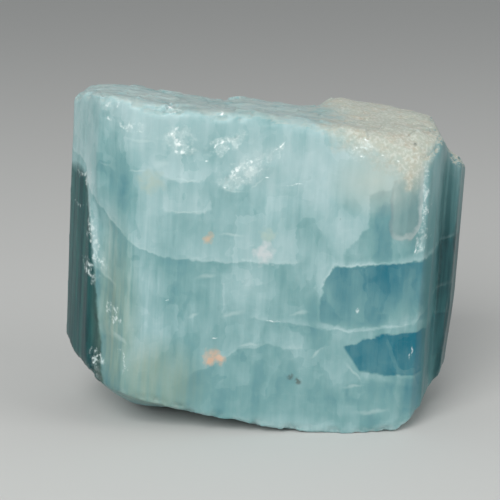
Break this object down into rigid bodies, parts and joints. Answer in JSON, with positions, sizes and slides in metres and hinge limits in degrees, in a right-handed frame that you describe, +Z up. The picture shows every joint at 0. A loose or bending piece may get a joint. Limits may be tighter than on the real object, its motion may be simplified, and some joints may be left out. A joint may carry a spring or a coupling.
{
  "type": "aquamarine crystal",
  "caption": "Stubby flattened aquamarine crystal, translucent blue-green, with striated prism faces, rough broken ends and a short side column grown on its right edge.",
  "frame": {"origin": "under the middle of the bounding box, at the level of the flat of the lower break that the crystal stands on", "axes": "+Z up, +X along the crystal's width to its side column, -Y out of the broad prism face"},
  "size_m": [0.045, 0.0242, 0.0367],
  "materials": {
    "aquamarine": "satin"
  },
  "bodies": {
    "root": {"aquamarine_crystal": "aquamarine"}
  },
  "joints": []
}
